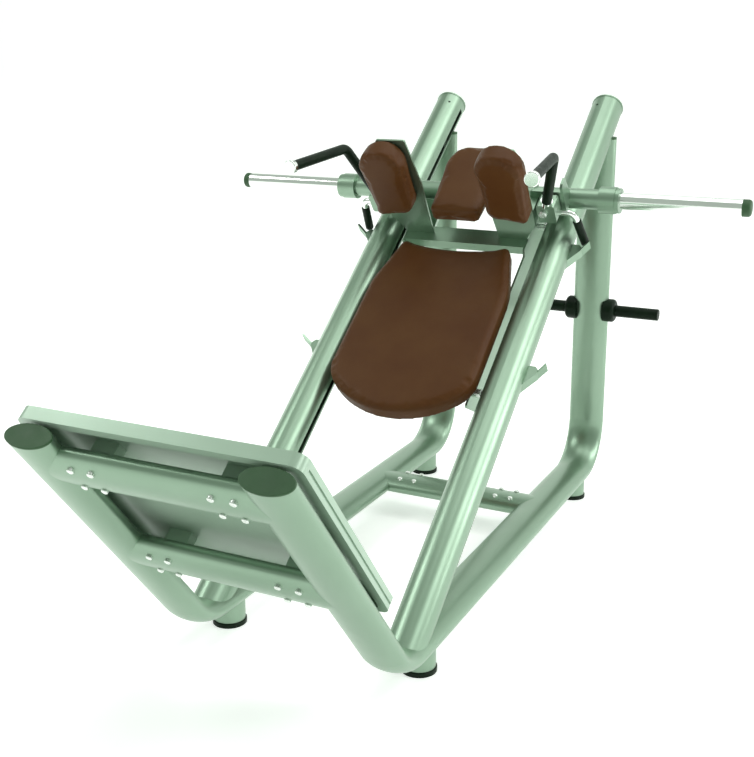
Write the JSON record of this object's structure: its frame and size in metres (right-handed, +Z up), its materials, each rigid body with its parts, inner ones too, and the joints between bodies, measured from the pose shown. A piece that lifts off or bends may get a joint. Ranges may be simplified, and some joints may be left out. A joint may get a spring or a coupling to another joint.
{
  "type": "leg press machine",
  "caption": "Plate-loaded leg press and hack squat machine with a foot plate, inclined round guide rails and a padded sliding carriage.",
  "frame": {"origin": "middle of the machine's footprint on the floor", "axes": "+Z up; -Y towards the foot plate, +Y towards the raised end of the rails; X across, along the weight bar"},
  "size_m": [1.674, 2.2358, 1.3561],
  "materials": {
    "frame_paint": "satin",
    "plate_paint": "satin",
    "cap_plastic": "matte",
    "black_rubber": "matte",
    "chrome": "polished",
    "zinc_steel": "bright",
    "upholstery": "satin",
    "board": "matte",
    "roller_nylon": "satin"
  },
  "bodies": {
    "frame": {"cross_member_bolts": "zinc_steel", "foot_cups": "frame_paint", "foot_plate": "plate_paint", "foot_rubbers": "black_rubber", "frame_tube_caps": "cap_plastic", "guide_rail_left": "frame_paint", "guide_rail_right": "frame_paint", "lower_cross_member": "frame_paint", "lower_hook_left": "frame_paint", "lower_hook_right": "frame_paint", "rail_caps": "frame_paint", "rail_stops": "black_rubber", "rear_cross_member": "frame_paint", "side_frame_left": "frame_paint", "side_frame_right": "frame_paint", "storage_peg_left": "black_rubber", "storage_peg_right": "black_rubber", "upper_cross_member": "frame_paint", "upper_hook_left": "frame_paint", "upper_hook_right": "frame_paint"},
    "carriage": {"back_pad": "upholstery", "back_pad_board": "board", "carriage_gusset_left": "frame_paint", "carriage_gusset_right": "frame_paint", "carriage_side_plate_left": "frame_paint", "carriage_side_plate_right": "frame_paint", "head_pad": "upholstery", "head_pad_plate": "frame_paint", "lever_bracket_left": "frame_paint", "lever_bracket_right": "frame_paint", "lever_pin_left": "zinc_steel", "lever_pin_right": "zinc_steel", "lower_crossbar": "frame_paint", "roller_axles_left": "zinc_steel", "roller_axles_right": "zinc_steel", "shoulder_pad_left": "upholstery", "shoulder_pad_plate_left": "frame_paint", "shoulder_pad_plate_right": "frame_paint", "shoulder_pad_right": "upholstery", "sleeve_cap_left": "cap_plastic", "sleeve_cap_right": "cap_plastic", "upper_crossbar": "frame_paint", "weight_bar": "frame_paint", "weight_sleeve_left": "chrome", "weight_sleeve_right": "chrome"},
    "lever_left": {"lever_grip_left": "black_rubber", "lever_handle_left": "chrome", "lever_hub_left": "frame_paint", "lever_rod_left": "chrome", "lever_roll_left": "black_rubber"},
    "lever_right": {"lever_grip_right": "black_rubber", "lever_handle_right": "chrome", "lever_hub_right": "frame_paint", "lever_rod_right": "chrome", "lever_roll_right": "black_rubber"},
    "lower_roller_left": {"lower_roller_left": "roller_nylon"},
    "lower_roller_right": {"lower_roller_right": "roller_nylon"},
    "upper_roller_left": {"upper_roller_left": "roller_nylon"},
    "upper_roller_right": {"upper_roller_right": "roller_nylon"}
  },
  "joints": [
    {"name": "carriage_slide", "type": "slide", "parent": "frame", "child": "carriage", "axis": [0, 0.7907, 0.6122], "range_m": [-0.472, 0.3]},
    {"name": "lever_left_turn", "type": "hinge", "parent": "carriage", "child": "lever_left", "pos_m": [-0.266, 0.51501, 1.05124], "axis": [0, 0.7907, 0.6122], "range_deg": [0, 16]},
    {"name": "lever_right_turn", "type": "hinge", "parent": "carriage", "child": "lever_right", "pos_m": [0.266, 0.51501, 1.05124], "axis": [0, -0.7907, -0.6122], "range_deg": [0, 16]},
    {"name": "lower_roller_left_spin", "type": "hinge", "parent": "carriage", "child": "lower_roller_left", "pos_m": [-0.2804, 0.12296, 0.56936], "axis": [1, 0, 0], "continuous": true},
    {"name": "lower_roller_right_spin", "type": "hinge", "parent": "carriage", "child": "lower_roller_right", "pos_m": [0.2804, 0.12296, 0.56936], "axis": [1, 0, 0], "continuous": true},
    {"name": "upper_roller_left_spin", "type": "hinge", "parent": "carriage", "child": "upper_roller_left", "pos_m": [-0.2804, 0.64086, 0.97036], "axis": [1, 0, 0], "continuous": true},
    {"name": "upper_roller_right_spin", "type": "hinge", "parent": "carriage", "child": "upper_roller_right", "pos_m": [0.2804, 0.64086, 0.97036], "axis": [1, 0, 0], "continuous": true}
  ],
  "couplings": [
    {"joint": "lower_roller_left_spin", "follows": "carriage_slide", "rad_per_m": -22.472},
    {"joint": "lower_roller_right_spin", "follows": "carriage_slide", "rad_per_m": -22.472},
    {"joint": "upper_roller_left_spin", "follows": "carriage_slide", "rad_per_m": -22.472},
    {"joint": "upper_roller_right_spin", "follows": "carriage_slide", "rad_per_m": -22.472}
  ]
}
